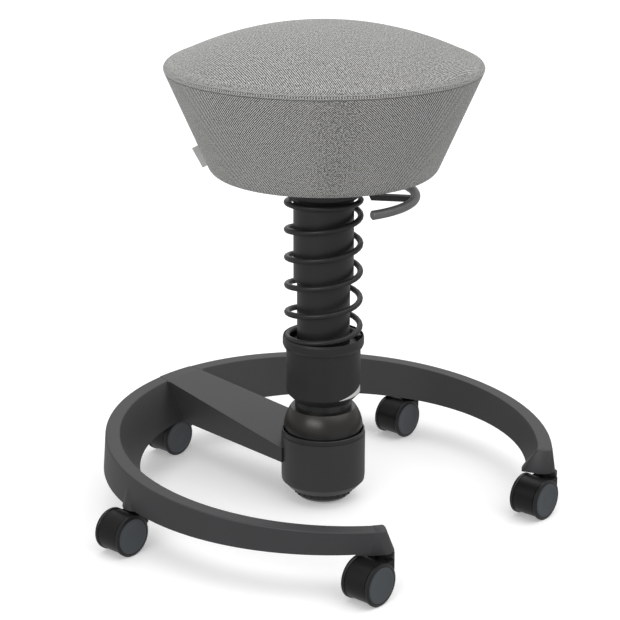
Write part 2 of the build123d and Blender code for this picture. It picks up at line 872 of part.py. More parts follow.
def make_cover_tag():
    """The small folded cloth tag sewn to the cover's side."""
    slope = (seat_rim_radius - seat_bottom_radius) / (seat_rim_height - seat_bottom)
    radius = seat_bottom_radius + slope * (tag_height - seat_bottom)
    lean = Rot(0, 24.2, 0)
    flag = lean * Pos(tag_reach / 2 + GAP, 0, 0) * Box(tag_reach, tag_thickness, tag_length)
    return Rot(0, 0, tag_angle) * Pos(radius, 0, tag_height) * flag


# ---------------------------------------------------------------- castors
def wheel_place(index):
    """Moves a piece drawn about the wheel axis to its castor: axis along Y, castor mid at y = 0."""
    x, y = castor_stems[index]
    return Pos(x - castor_trail, y, wheel_radius)


def disc_along_y(radius, low, high):
    """A disc about the Y axis between two places along it."""
    return cross_pin(radius, low, high, "Y", 0)


def make_wheel(index, side):
    """One castor wheel: a running flange outside, a drum inside and a dished outer face."""
    flange_low = wheel_outer_face - wheel_flange_width
    outline = [
        (axle_radius + RUN, wheel_inner_face),
        (wheel_drum_radius, wheel_inner_face),
        (wheel_drum_radius, flange_low),
        (wheel_radius - 0.8, flange_low),
        (wheel_radius, flange_low + 1.0),
        (wheel_radius, wheel_outer_face - wheel_rim_slope),
        (wheel_radius - wheel_rim_width, wheel_outer_face),
        (wheel_radius - wheel_rim_width, wheel_outer_face - wheel_rim_height),
        (0, wheel_outer_face - wheel_rim_height + 0.4),
        (0, axle_reach + GAP),
        (axle_radius + RUN, axle_reach + GAP),
    ]
    body = revolve(Plane.XY * make_face(Polyline(*outline, close=True)), Axis.Y)
    if side < 0:
        body = Rot(180, 0, 0) * body
    return wheel_place(index) * body


def make_axle(index):
    """The castor's axle."""
    return wheel_place(index) * disc_along_y(axle_radius, -axle_reach, axle_reach)


def make_stem(index):
    """The castor's stem, fixed in the ring, with a groove for its snap ring."""
    x, y = castor_stems[index]
    body = upright(stem_radius, stem_bottom, stem_top, x, y)
    top_edge = body.edges().group_by(Axis.Z)[-1]
    return chamfer(top_edge, 1.0)


def make_hood(index):
    """The castor's hood: neck, middle web and the arch over both drums."""
    half_width = wheel_outer_face - wheel_flange_width - hood_flange_clearance
    arch = disc_along_y(hood_outer_radius, -half_width, half_width)
    pocket_radius = wheel_drum_radius + hood_drum_clearance
    neck_low = stem_bottom - wheel_radius - 3.0
    neck_high = boss_bottom - GAP - wheel_radius
    neck = upright(hood_neck_radius, neck_low, neck_high, castor_trail, 0)
    bridge = block(0, castor_trail, -half_width, half_width, 2, neck_high - 4.5)
    body = arch + (neck + bridge)
    for side in (-1, 1):
        low, high = sorted((side * hood_web / 2, side * (half_width + 1)))
        body -= disc_along_y(pocket_radius, low, high)
    below = hood_rear_height - wheel_radius
    body -= block(-40, castor_trail + 40, -30, 30, -60, below)
    body -= block(2, castor_trail + 40, -30, 30, -60, neck_low)
    body += disc_along_y(axle_radius + 4, -hood_web / 2, hood_web / 2)
    body -= disc_along_y(axle_radius, -30, 30)
    bore_low = stem_bottom - GAP - wheel_radius
    body -= upright(stem_radius + RUN, bore_low, 60, castor_trail, 0)
    return wheel_place(index) * body


# ---------------------------------------------------------------- all pieces
def build_all():
    """Makes every piece and writes it under its name."""
    os.makedirs("parts", exist_ok=True)
    pieces = {
        "base_ring": make_base_ring,
        "base_arm": make_base_arm,
        "arm_screws": make_arm_screws,
        "hub_pot": make_hub_pot,
        "hub_trim_ring": make_hub_trim_ring,
        "pivot_yoke": make_pivot_yoke,
        "tilt_cross": make_tilt_cross,
        "damper_ring": make_damper_ring,
        "stiffness_knob": make_stiffness_knob,
        "column_foot": make_column_foot,
        "lower_tube": make_lower_tube,
        "guide_bushes": make_guide_bushes,
        "spring_cup": make_spring_cup,
        "coil_spring": make_coil_spring,
        "upper_sleeve": make_upper_sleeve,
        "spring_collar": make_spring_collar,
        "inner_column": make_inner_column,
        "top_guide": make_top_guide,
        "thrust_bearing": make_thrust_bearing,
        "piston_rod": make_piston_rod,
        "retaining_clip": make_retaining_clip,
        "gas_cylinder": make_gas_cylinder,
        "gas_button": make_gas_button,
        "seat_socket": make_seat_socket,
        "seat_screws": make_seat_screws,
        "seat_board": make_seat_board,
        "seat_foam": make_seat_foam,
        "seat_cover": make_seat_cover,
        "cover_tag": make_cover_tag,
        "lever_strip": make_lever_strip,
        "lever_handle": make_lever_handle,
        "lever_pin": make_lever_pin,
    }
    for name, make in pieces.items():
        write(make(), name)
    for index in range(castor_count):
        number = index + 1
        write(make_hood(index), f"castor_{number}_hood")
        write(make_stem(index), f"castor_{number}_stem")
        write(make_axle(index), f"castor_{number}_axle")
        write(make_wheel(index, -1), f"castor_{number}_wheel_a")
        write(make_wheel(index, 1), f"castor_{number}_wheel_b")


build_all()
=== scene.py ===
"""The finished look of an active sitting stool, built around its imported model.

A cone-shaped cushion in grey twill cloth stands on a sprung, tilting column. The column is
carried by the arm of an open ring base that runs on five twin-wheel castors. Every length is in
metres, +Z is up, the floor is z = 0 and the column stands on the Z axis.
"""

import json
import logging
import math
from collections.abc import Iterator
from contextlib import contextmanager
from dataclasses import dataclass, field
from enum import Enum

import bpy
import numpy as np
from mathutils import Matrix, Vector


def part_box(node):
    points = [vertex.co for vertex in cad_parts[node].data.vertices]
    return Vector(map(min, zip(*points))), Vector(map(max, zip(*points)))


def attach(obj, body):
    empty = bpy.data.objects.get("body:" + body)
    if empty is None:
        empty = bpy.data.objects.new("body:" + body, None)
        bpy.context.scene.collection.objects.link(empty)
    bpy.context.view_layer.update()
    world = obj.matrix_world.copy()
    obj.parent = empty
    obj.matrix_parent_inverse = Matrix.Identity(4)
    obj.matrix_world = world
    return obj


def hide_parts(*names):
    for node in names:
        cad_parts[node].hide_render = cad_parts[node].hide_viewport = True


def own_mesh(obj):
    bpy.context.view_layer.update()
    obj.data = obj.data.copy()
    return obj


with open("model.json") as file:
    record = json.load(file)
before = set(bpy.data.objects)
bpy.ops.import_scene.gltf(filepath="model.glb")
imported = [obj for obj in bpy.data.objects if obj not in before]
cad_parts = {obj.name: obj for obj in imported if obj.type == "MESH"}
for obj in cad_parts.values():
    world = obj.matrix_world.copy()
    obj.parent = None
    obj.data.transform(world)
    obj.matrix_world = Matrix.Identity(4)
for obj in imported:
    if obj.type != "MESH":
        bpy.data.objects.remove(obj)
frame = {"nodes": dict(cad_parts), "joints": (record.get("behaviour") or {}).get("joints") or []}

LOG = logging.getLogger("stool")
MM = 0.001
WELD = 0.01 * MM
POLE_RADIUS = 0.2 * MM
Colour = tuple[float, float, float]
Spot = tuple[float, float, float]
Point = tuple[float, float]


# ---------------------------------------------------------------- shader expressions
class Value:
    """One number socket of a shader that takes part in Python expressions."""

    def __init__(self, shader: "Shader", socket: bpy.types.NodeSocket) -> None:
        """Wraps a socket.

        Args:
            shader: The shader that the socket belongs to.
            socket: The output socket that gives the number.
        """
        self.shader = shader
        self.socket = socket

    def __add__(self, other: "Value | float") -> "Value":
        """self + other."""
        return self.shader.math("ADD", self, other)

    def __radd__(self, other: float) -> "Value":
        """other + self."""
        return self.shader.math("ADD", other, self)

    def __sub__(self, other: "Value | float") -> "Value":
        """self - other."""
        return self.shader.math("SUBTRACT", self, other)

    def __rsub__(self, other: float) -> "Value":
        """other - self."""
        return self.shader.math("SUBTRACT", other, self)

    def __mul__(self, other: "Value | float") -> "Value":
        """self * other."""
        return self.shader.math("MULTIPLY", self, other)

    def __rmul__(self, other: float) -> "Value":
        """other * self."""
        return self.shader.math("MULTIPLY", other, self)

    def __truediv__(self, other: "Value | float") -> "Value":
        """self / other."""
        return self.shader.math("DIVIDE", self, other)

    def __gt__(self, other: "Value | float") -> "Value":
        """1 where self is greater than other, else 0."""
        return self.shader.math("GREATER_THAN", self, other)

    def __lt__(self, other: "Value | float") -> "Value":
        """1 where self is less than other, else 0."""
        return self.shader.math("LESS_THAN", self, other)

    def sine(self) -> "Value":
        """The sine of self, in radians."""
        return self.shader.math("SINE", self)

    def between(self, low: float, high: float) -> "Value":
        """Rises smoothly from 0 at low to 1 at high.

        Args:
            low: Where the rise starts.
            high: Where it ends.

        Returns:
            The eased value.
        """
        settings = {"interpolation_type": "SMOOTHSTEP"}
        sockets = {"Value": self, "From Min": low, "From Max": high}
        return Value(self.shader, self.shader.node("ShaderNodeMapRange", settings, sockets).outputs[0])


class Shader:
    """A material whose nodes are added one expression at a time."""

    def __init__(self, name: str) -> None:
        """Starts an empty material with its output and its surface shader.

        Args:
            name: The material's name.
        """
        self.material = bpy.data.materials.new(name)
        self.material.use_nodes = True
        self.tree = self.material.node_tree
        self.tree.nodes.clear()
        self.surface = self.node("ShaderNodeBsdfPrincipled")
        output = self.node("ShaderNodeOutputMaterial")
        self.tree.links.new(self.surface.outputs[0], output.inputs["Surface"])

    def node(self, kind: str, settings: dict | None = None, sockets: dict | None = None) -> bpy.types.Node:
        """Adds one node.

        Args:
            kind: The node's type.
            settings: The node's own settings, which are set first.
            sockets: A number, colour, Value or socket for each input, by name or place.

        Returns:
            The new node.
        """
        made = self.tree.nodes.new(kind)
        for key, setting in (settings or {}).items():
            setattr(made, key, setting)
        for key, given in (sockets or {}).items():
            given = given.socket if isinstance(given, Value) else given
            if isinstance(given, bpy.types.NodeSocket):
                self.tree.links.new(given, made.inputs[key])
            else:
                made.inputs[key].default_value = given
        return made

    def math(self, operation: str, *values: Value | float) -> Value:
        """Adds one Math node.

        Args:
            operation: The node's operation.
            *values: Its inputs in order.

        Returns:
            The result.
        """
        made = self.node("ShaderNodeMath", {"operation": operation}, dict(enumerate(values)))
        return Value(self, made.outputs[0])

    def place(self) -> bpy.types.NodeSocket:
        """The point in the object's own coordinates."""
        return self.node("ShaderNodeTexCoord").outputs["Object"]

    def unwrapped(self, name: str) -> bpy.types.NodeSocket:
        """The point on the piece's own unwrapped cloth.

        Args:
            name: The name of the unwrapping.

        Returns:
            The vector socket.
        """
        return self.node("ShaderNodeUVMap", {"uv_map": name}).outputs[0]

    def parts(self, vector: bpy.types.NodeSocket) -> tuple[Value, Value, Value]:
        """The three numbers of a vector.

        Args:
            vector: The vector socket.

        Returns:
            Its X, Y and Z.
        """
        made = self.node("ShaderNodeSeparateXYZ", None, {0: vector})
        return Value(self, made.outputs[0]), Value(self, made.outputs[1]), Value(self, made.outputs[2])

    def noise(self, scale: float, detail: float = 2.0, where: bpy.types.NodeSocket | None = None) -> Value:
        """Cloudy noise from 0 to 1.

        Args:
            scale: Clouds per metre.
            detail: How many finer layers it has.
            where: The vector that places it, or the object's own coordinates.

        Returns:
            The noise.
        """
        sockets = {"Vector": where or self.place(), "Scale": scale, "Detail": detail}
        return Value(self, self.node("ShaderNodeTexNoise", None, sockets).outputs[0])

    def mix(self, share: Value | float, first: object, second: object) -> bpy.types.NodeSocket:
        """Mixes two colours.

        Args:
            share: How much of the second colour shows.
            first: A colour or a colour socket.
            second: A colour or a colour socket.

        Returns:
            The mixed colour.
        """
        colours = [c if isinstance(c, bpy.types.NodeSocket) else (*c, 1.0) for c in (first, second)]
        settings = {"data_type": "RGBA"}
        made = self.node("ShaderNodeMix", settings, {0: share, 6: colours[0], 7: colours[1]})
        return made.outputs[2]

    def bump(self, height: Value, strength: float, distance: float) -> bpy.types.NodeSocket:
        """Turns a height into a surface direction.

        Args:
            height: The height, from 0 to 1.
            strength: How much of the effect shows.
            distance: The height that 1 stands for, in metres.

        Returns:
            The normal socket.
        """
        sockets = {"Strength": strength, "Distance": distance, "Height": height}
        return self.node("ShaderNodeBump", None, sockets).outputs[0]

    def finish(self, **sockets: object) -> bpy.types.Material:
        """Sets the surface shader's sockets.

        Args:
            **sockets: A value or link for each socket, with underscores for spaces.

        Returns:
            The finished material.
        """
        for key, given in sockets.items():
            given = given.socket if isinstance(given, Value) else given
            target = self.surface.inputs[key.replace("_", " ")]
            if isinstance(given, bpy.types.NodeSocket):
                self.tree.links.new(given, target)
            else:
                target.default_value = (*given, 1.0) if isinstance(given, tuple) else given
        return self.material


# ---------------------------------------------------------------- finishes
@dataclass(frozen=True)
class PowderCoat:
    """Satin powder coat on the cast ring and arm, with a fine orange-peel skin."""

    colour: Colour = (0.041, 0.041, 0.043)
    pale: Colour = (0.053, 0.053, 0.056)
    fleck: Colour = (0.13, 0.13, 0.14)
    fleck_share: float = 0.35
    roughness: float = 0.42
    metal: float = 0.25
    clouds: float = 14.0
    grain: float = 1700.0
    grain_depth: float = 0.05 * MM

    def material(self, name: str) -> bpy.types.Material:
        """Builds the material.

        Args:
            name: The material's name.

        Returns:
            The material.
        """
        shader = Shader(name)
        cloud = shader.noise(self.clouds, 3.0)
        skin = shader.noise(self.grain, 2.0)
        flecks = shader.noise(self.grain * 2.3, 1.0).between(0.62, 0.72)
        tone = shader.mix(cloud, self.colour, self.pale)
        return shader.finish(
            Base_Color=shader.mix(flecks * self.fleck_share, tone, self.fleck),
            Roughness=self.roughness + cloud * 0.08 + skin * 0.06,
            Metallic=self.metal,
            Normal=shader.bump(skin, 0.5, self.grain_depth),
        )


@dataclass(frozen=True)
class Moulding:
    """Black moulded plastic with a fine spark-eroded grain."""

    colour: Colour = (0.012, 0.012, 0.013)
    worn: Colour = (0.018, 0.018, 0.018)
    roughness: float = 0.38
    grain: float = 2600.0
    shine: float = 0.5
    grain_depth: float = 0.04 * MM
    clouds: float = 22.0

    def marked(self, shader: Shader, tone: bpy.types.NodeSocket) -> bpy.types.NodeSocket:
        """Adds the marks that a moulding carries; a plain one carries none.

        Args:
            shader: The shader that the marks are added to.
            tone: The bare colour.

        Returns:
            The marked colour.
        """
        return tone

    def material(self, name: str) -> bpy.types.Material:
        """Builds the material.

        Args:
            name: The material's name.

        Returns:
            The material.
        """
        shader = Shader(name)
        cloud = shader.noise(self.clouds, 3.0)
        skin = shader.noise(self.grain, 2.0)
        return shader.finish(
            Base_Color=self.marked(shader, shader.mix(cloud, self.colour, self.worn)),
            Roughness=self.roughness + cloud * 0.1,
            Specular_IOR_Level=self.shine,
            Normal=shader.bump(skin, 0.35, self.grain_depth),
        )


@dataclass(frozen=True)
class MarkedCup(Moulding):
    """The cup's moulding with a plain pale wedge printed low on one side, which widens with tension."""

    ink: Colour = (0.72, 0.72, 0.70)
    start: float = math.radians(-114.0)
    end: float = math.radians(-57.0)
    low: float = 147.2 * MM
    rise: float = 1.0 * MM
    thickness: float = 9.6 * MM

    def marked(self, shader: Shader, tone: bpy.types.NodeSocket) -> bpy.types.NodeSocket:
        """Prints the wedge.

        Args:
            shader: The shader that the marks are added to.
            tone: The bare colour.

        Returns:
            The marked colour.
        """
        x, y, z = shader.parts(shader.place())
        turn = (shader.math("ARCTAN2", y, x) - self.start) / (self.end - self.start)
        bottom = self.low + turn * self.rise
        inside = (z > bottom) * (z < bottom + turn * self.thickness) * (turn > 0.0) * (turn < 1.0)
        return shader.mix(inside, tone, self.ink)


@dataclass(frozen=True)
class DomeShell(Moulding):
    """The dome's brownish moulding, black at its neck, with painted shade darkening the skirt that runs into
    the trim ring.
    """

    # The neck's own black, which also serves as the painted shade on the skirt.
    black: Colour = (0.008, 0.008, 0.009)
    neck: float = 126.2 * MM
    skirt: float = 104.0 * MM

    def marked(self, shader: Shader, tone: bpy.types.NodeSocket) -> bpy.types.NodeSocket:
        """Blackens the neck and paints shade on the skirt.

        Args:
            shader: The shader that the marks are added to.
            tone: The bare colour.

        Returns:
            The marked colour.
        """
        _, _, z = shader.parts(shader.place())
        # Below the skirt height the black is painted shade where the dome runs into the trim ring.
        shown = (z > self.skirt) * (z < self.neck)
        return shader.mix(shown, self.black, tone)


@dataclass(frozen=True)
class CoatedSteel:
    """Steel under a smooth satin-black coat."""

    colour: Colour = (0.030, 0.030, 0.031)
    roughness: float = 0.33
    metal: float = 0.35
    grain_depth: float = 0.04 * MM

    def material(self, name: str) -> bpy.types.Material:
        """Builds the material.

        Args:
            name: The material's name.

        Returns:
            The material.
        """
        shader = Shader(name)
        cloud = shader.noise(60.0, 3.0)
        fine = shader.noise(900.0, 2.0)
        return shader.finish(
            Base_Color=shader.mix(cloud, self.colour, tuple(c * 1.5 for c in self.colour)),
            Roughness=self.roughness + cloud * 0.12,
            Metallic=self.metal,
            Normal=shader.bump(fine, 0.25, self.grain_depth),
        )


@dataclass(frozen=True)
class TurnedSteel:
    """Bright steel with fine turning marks."""

    colour: Colour = (0.50, 0.50, 0.51)
    roughness: float = 0.28
    marks: float = 9000.0
    mark_depth: float = 0.03 * MM

    def material(self, name: str) -> bpy.types.Material:
        """Builds the material.

        Args:
            name: The material's name.

        Returns:
            The material.
        """
        shader = Shader(name)
        _, _, z = shader.parts(shader.place())
        marks = (z * self.marks + shader.noise(120.0) * 2.0).sine()
        cloud = shader.noise(80.0, 3.0)
        return shader.finish(
            Base_Color=shader.mix(cloud, self.colour, tuple(c * 0.8 for c in self.colour)),
            Roughness=self.roughness + cloud * 0.15,
            Metallic=1.0,
            Normal=shader.bump(marks, 0.12, self.mark_depth),
        )


@dataclass(frozen=True)
class Elastomer:
    """Matte black rubber."""

    colour: Colour = (0.018, 0.018, 0.018)
    roughness: float = 0.7
    grain_depth: float = 0.05 * MM

    def material(self, name: str) -> bpy.types.Material:
        """Builds the material.

        Args:
            name: The material's name.

        Returns:
            The material.
        """
        shader = Shader(name)
        cloud = shader.noise(45.0, 3.0)
        return shader.finish(
            Base_Color=shader.mix(cloud, self.colour, tuple(c * 1.8 for c in self.colour)),
            Roughness=self.roughness + cloud * 0.15,
            Normal=shader.bump(shader.noise(1500.0, 2.0), 0.3, self.grain_depth),
        )


@dataclass(frozen=True)
class Twill:
    """Grey wool cloth in a fine broken twill of pale and dark yarns, with the sewn seam at its rim and
    painted shade in the crease and the seam's groove.
    """

    dark: Colour = (0.004, 0.004, 0.004)
    pale: Colour = (0.70, 0.70, 0.68)
    piping: Colour = (0.50, 0.50, 0.485)
    shade: float = -0.13
    slubs: float = 2.0
    fuzz: float = 0.6
    top_contrast: float = 0.5
    top_tone: float = 0.215
    rise: float = 2.9 * MM
    slant: float = 1.0
    panel: float = 306.0 * MM
    panel_start: float = -150.0 * MM
    yarn: float = 0.75 * MM
    weave_depth: float = 0.35 * MM
    # The crease below the rim and the seam's groove are darkened with painted shade.
    crease: Point = (562.2 * MM, 563.9 * MM)
    crease_painted_shade: float = 0.4
    low_piping: Point = (563.9 * MM, 565.3 * MM)
    groove: Point = (565.3 * MM, 568.3 * MM)
    groove_painted_shade: float = 0.35
    high_piping: Point = (568.3 * MM, 569.9 * MM)
    piping_share: float = 0.3
    unwrapping: str = "cloth"

    def material(self, name: str) -> bpy.types.Material:
        """Builds the material.

        Args:
            name: The material's name.

        Returns:
            The material.
        """
        shader = Shader(name)
        cloth = shader.unwrapped(self.unwrapping)
        across, along, _ = shader.parts(cloth)
        drift = shader.noise(260.0, 2.0, cloth) * 0.6
        rightwards = (along + across * self.slant) / self.rise + drift
        leftwards = (along - across * self.slant) / self.rise + drift
        turn = (((across - self.panel_start) * (math.pi / self.panel)).sine() * 0.9 + 0.5).between(0.0, 1.0)
        ribs = self.rib(rightwards) * turn + self.rib(leftwards) * (1.0 - turn)
        yarns = (across * (2 * math.pi / self.yarn)).sine() * (along * (2 * math.pi / self.yarn)).sine()
        fuzz = shader.noise(2600.0, 3.0, cloth)
        slub = shader.noise(420.0, 3.0, cloth)
        cloud = shader.noise(16.0, 2.0, cloth)
        tone = ribs + (slub - 0.5) * self.slubs + (fuzz - 0.5) * self.fuzz
        tone = tone + yarns * 0.05 + cloud * 0.1 + self.shade
        _, _, z = shader.parts(shader.place())
        tone = tone + (z > self.crease[0]) * (tone * (self.top_contrast - 1.0) + self.top_tone)
        piped = self.band(z, self.low_piping) + self.band(z, self.high_piping)
        # Painted shade: the crease and the seam's groove are mixed towards the dark yarn.
        painted_shade = self.band(z, self.crease) * self.crease_painted_shade + self.band(z, self.groove) * self.groove_painted_shade
        woven = shader.mix(tone.between(0.0, 1.0), self.dark, self.pale)
        hemmed = shader.mix(piped * self.piping_share, woven, self.piping)
        relief = ribs * 0.55 + yarns * 0.12 + fuzz * 0.35
        return shader.finish(
            Base_Color=shader.mix(painted_shade, hemmed, self.dark),
            Roughness=0.86 + fuzz * 0.1,
            Normal=shader.bump(relief, 0.55, self.weave_depth),
            Sheen_Weight=0.25,
            Sheen_Roughness=0.5,
            Specular_IOR_Level=0.25,
        )

    def band(self, height: Value, limits: Point) -> Value:
        """Where a point's height lies between two limits.

        Args:
            height: The point's height.
            limits: The lower and the upper limit, in metres.

        Returns:
            1 between them and 0 elsewhere.
        """
        return (height > limits[0]) * (height < limits[1])

    def rib(self, lean: Value) -> Value:
        """One set of slanting ribs, pale on top and dark between.

        Args:
            lean: How far along the set a point lies, in ribs.

        Returns:
            The ribs, from 0 to 1.
        """
        return ((lean * (2 * math.pi)).sine() * 1.4 + 0.4).between(0.0, 1.0)


@dataclass(frozen=True)
class PlainCloth:
    """Plain tape or thread with a tight over-and-under weave."""

    colour: Colour = (0.62, 0.63, 0.61)
    shade: Colour = (0.50, 0.51, 0.49)
    yarn: float = 0.5 * MM
    weave_depth: float = 0.08 * MM

    def material(self, name: str) -> bpy.types.Material:
        """Builds the material.

        Args:
            name: The material's name.

        Returns:
            The material.
        """
        shader = Shader(name)
        x, y, z = shader.parts(shader.place())
        turns = 2 * math.pi / self.yarn
        checks = ((x + y) * turns).sine() * (z * turns).sine() * 0.5 + 0.5
        fuzz = shader.noise(1800.0, 2.0)
        return shader.finish(
            Base_Color=shader.mix(checks * 0.6 + fuzz * 0.4, self.shade, self.colour),
            Roughness=0.85 + fuzz * 0.1,
            Normal=shader.bump(checks, 0.4, self.weave_depth),
            Sheen_Weight=0.2,
        )


@dataclass(frozen=True)
class OpenFoam:
    """Cream foam with open cells."""

    colour: Colour = (0.72, 0.68, 0.55)
    cells: float = 700.0
    cell_depth: float = 0.4 * MM

    def material(self, name: str) -> bpy.types.Material:
        """Builds the material.

        Args:
            name: The material's name.

        Returns:
            The material.
        """
        shader = Shader(name)
        cells = shader.noise(self.cells, 3.0)
        return shader.finish(
            Base_Color=shader.mix(cells, tuple(c * 0.8 for c in self.colour), self.colour),
            Roughness=0.9 + cells * 0.05,
            Normal=shader.bump(cells, 0.8, self.cell_depth),
        )


@dataclass(frozen=True)
class StudioFloor:
    """The pale seamless floor."""

    colour: Colour = (0.88, 0.88, 0.88)
    glow: float = 0.25

    def material(self, name: str) -> bpy.types.Material:
        """Builds the material.

        Args:
            name: The material's name.

        Returns:
            The material.
        """
        shader = Shader(name)
        return shader.finish(
            Base_Color=self.colour,
            Roughness=0.9,
            Specular_IOR_Level=0.1,
            Emission_Color=(1.0, 1.0, 1.0),
            Emission_Strength=self.glow,
        )


class Finish(Enum):
    """Every finish on the stool."""

    POWDER_COAT = PowderCoat()
    MOULDING = Moulding()
    CUP = MarkedCup()
    DOME = DomeShell((0.009, 0.007, 0.0045), (0.013, 0.010, 0.0065), roughness=0.28, grain=1500.0, shine=0.6)
    TUBE = Moulding((0.013, 0.013, 0.014), (0.019, 0.019, 0.020), roughness=0.36, grain=3000.0)
    POT = Moulding((0.024, 0.024, 0.025), (0.032, 0.032, 0.033), roughness=0.42)
    HANDLE = CoatedSteel((0.135, 0.135, 0.136), roughness=0.36)
    SPRING = CoatedSteel((0.022, 0.022, 0.023), roughness=0.34)
    BLACK_STEEL = CoatedSteel()
    STEEL = TurnedSteel()
    RUBBER = Elastomer()
    WHEEL = Moulding((0.006, 0.006, 0.006), (0.010, 0.010, 0.010), roughness=0.3, grain=2200.0, shine=0.45)
    HOOD = Moulding((0.003, 0.003, 0.003), (0.006, 0.006, 0.006), roughness=0.32, grain=2200.0, shine=0.3)
    WHEEL_CAP = Moulding((0.048, 0.056, 0.064), (0.060, 0.069, 0.078), roughness=0.42, grain=2200.0)
    BOARD = Moulding((0.045, 0.045, 0.045), (0.06, 0.06, 0.06), roughness=0.55, grain=1500.0)
    CLOTH = Twill()
    THREAD = PlainCloth((0.60, 0.60, 0.585), (0.48, 0.48, 0.47), yarn=0.3 * MM)
    TAPE = PlainCloth()
    FOAM = OpenFoam()
    FLOOR = StudioFloor()

    def dress(self, piece: bpy.types.Object) -> None:
        """Gives a piece this finish.

        Args:
            piece: The mesh object.
        """
        name = f"{self.name.lower()}_finish"
        made = bpy.data.materials.get(name) or self.value.material(name)
        piece.data.materials.clear()
        piece.data.materials.append(made)


# ---------------------------------------------------------------- modelling by hand
def pick_nothing() -> None:
    """Leaves edit mode and deselects every object."""
    if bpy.context.object and bpy.context.object.mode != "OBJECT":
        bpy.ops.object.mode_set(mode="OBJECT")
    bpy.ops.object.select_all(action="DESELECT")


def choose(piece: bpy.types.Object) -> None:
    """Selects one piece alone and makes it the active one.

    Args:
        piece: The piece.
    """
    pick_nothing()
    piece.select_set(True)
    bpy.context.view_layer.objects.active = piece


def put(name: str, data: bpy.types.ID) -> bpy.types.Object:
    """Puts a new object in the scene.

    Args:
        name: The object's name.
        data: Its mesh, curve, light or camera.

    Returns:
        The object.
    """
    made = bpy.data.objects.new(name, data)
    bpy.context.collection.objects.link(made)
    return made


@contextmanager
def editing(piece: bpy.types.Object) -> Iterator[bpy.types.Mesh]:
    """Opens a piece in edit mode with everything selected.

    Args:
        piece: The mesh object.

    Yields:
        The piece's mesh.
    """
    choose(piece)
    bpy.ops.object.mode_set(mode="EDIT")
    bpy.ops.mesh.select_all(action="SELECT")
    yield piece.data
    bpy.ops.object.mode_set(mode="OBJECT")


def settle(piece: bpy.types.Object, smooth: float = 40.0) -> None:
    """Moves a piece's place into its mesh and smooths its faces.

    Args:
        piece: The mesh object.
        smooth: The largest angle between faces that is smoothed over, in degrees.
    """
    choose(piece)
    bpy.ops.object.transform_apply(location=True, rotation=True, scale=True)
    bpy.ops.object.shade_smooth_by_angle(angle=math.radians(smooth))


def apply_modifier(piece: bpy.types.Object, kind: str, **settings: object) -> None:
    """Adds a modifier to a piece and applies it.

    Args:
        piece: The mesh object.
        kind: The modifier's type.
        **settings: The modifier's settings.
    """
    choose(piece)
    modifier = piece.modifiers.new(kind.title(), kind)
    for key, setting in settings.items():
        setattr(modifier, key, setting)
    bpy.ops.object.modifier_apply(modifier=modifier.name)


def lathe(name: str, outline: list[Point], segments: int) -> bpy.types.Object:
    """Turns an outline about the column axis, ring by ring.

    Args:
        name: The piece's name.
        outline: Points of (radius, height). The first and the last have radius 0 and make the poles.
        segments: How many sides each ring has.

    Returns:
        The turned piece.
    """
    points = [(max(radius, POLE_RADIUS), height) for radius, height in outline]
    pick_nothing()
    radius, height = points[0]
    place = (0, 0, height)
    bpy.ops.mesh.primitive_circle_add(vertices=segments, radius=radius, fill_type="TRIFAN", location=place)
    piece = bpy.context.object
    piece.name = name
    with editing(piece):
        select_ring(piece, radius)
        for (r_last, z_last), (r_next, z_next) in zip(points, points[1:]):
            bpy.ops.mesh.extrude_edges_move()
            bpy.ops.transform.translate(value=(0, 0, z_next - z_last))
            scale = r_next / r_last
            bpy.ops.transform.resize(value=(scale, scale, 1), center_override=(0, 0, z_next))
        bpy.ops.mesh.merge(type="CENTER")
        bpy.ops.mesh.select_all(action="SELECT")
        bpy.ops.mesh.remove_doubles(threshold=WELD)
        bpy.ops.mesh.normals_make_consistent(inside=False)
    settle(piece)
    return piece


def select_ring(piece: bpy.types.Object, radius: float) -> None:
    """Selects the vertices that lie on a ring about the column axis, in edit mode.

    Args:
        piece: The mesh object, in edit mode.
        radius: The ring's radius.
    """
    bpy.ops.mesh.select_all(action="DESELECT")
    bpy.ops.object.mode_set(mode="OBJECT")
    for vertex in piece.data.vertices:
        vertex.select = abs(Vector(vertex.co[:2]).length - radius) < WELD
    for edge in piece.data.edges:
        edge.select = all(piece.data.vertices[i].select for i in edge.vertices)
    bpy.ops.object.mode_set(mode="EDIT")


def stand(piece: bpy.types.Object, body: str, finish: Finish) -> None:
    """Dresses a finished piece and sets it on its body.

    Args:
        piece: The mesh object.
        body: The body that it moves with.
        finish: The finish that it gets.
    """
    finish.dress(piece)
    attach(piece, body)
    LOG.info("piece %s rides on %s, %d faces", piece.name, body, len(piece.data.polygons))


